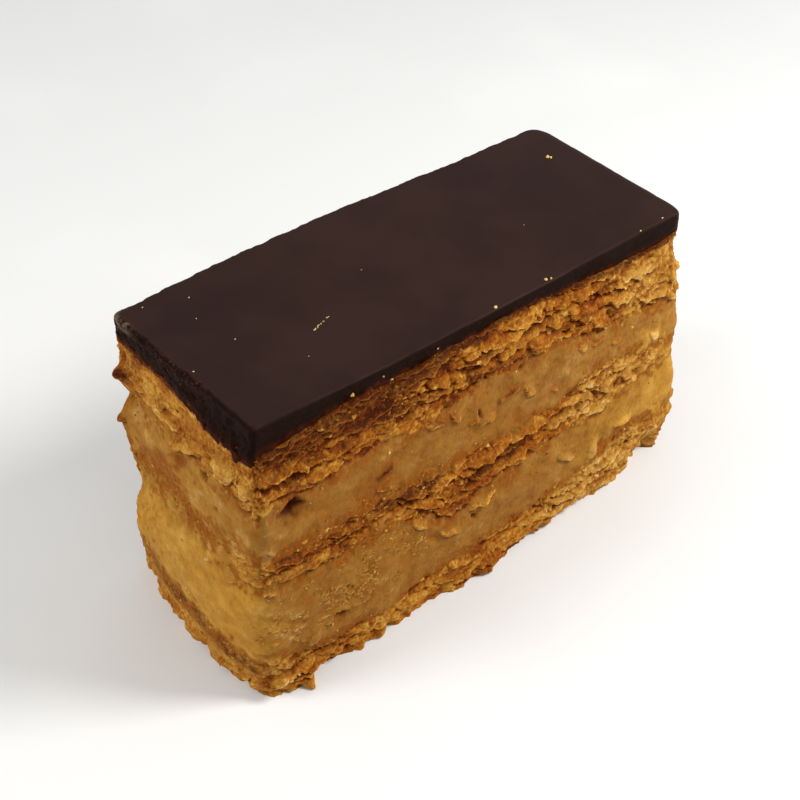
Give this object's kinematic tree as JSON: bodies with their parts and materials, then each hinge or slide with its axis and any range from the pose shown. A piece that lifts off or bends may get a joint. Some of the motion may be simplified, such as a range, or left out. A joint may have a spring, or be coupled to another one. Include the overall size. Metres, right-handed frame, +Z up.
{
  "type": "mille feuille slice",
  "caption": "Cut slice of layered puff pastry and custard cream with a dark chocolate icing slab on top, resting on its flat pastry base",
  "frame": {"origin": "under the middle of the slice's box, on the flat underside of the bottom pastry", "axes": "+X along the length of the slice, +Y across it from the front cut face to the back, +Z up through the icing"},
  "size_m": [0.0984, 0.0412, 0.0551],
  "materials": {
    "icing": "satin dark chocolate icing",
    "pastry": "dry flaky baked puff pastry",
    "cream": "moist smooth custard cream"
  },
  "bodies": {
    "root": {"icing": "icing", "top_pastry": "pastry", "upper_cream": "cream", "middle_pastry": "pastry", "lower_cream": "cream", "bottom_pastry": "pastry"}
  },
  "joints": []
}
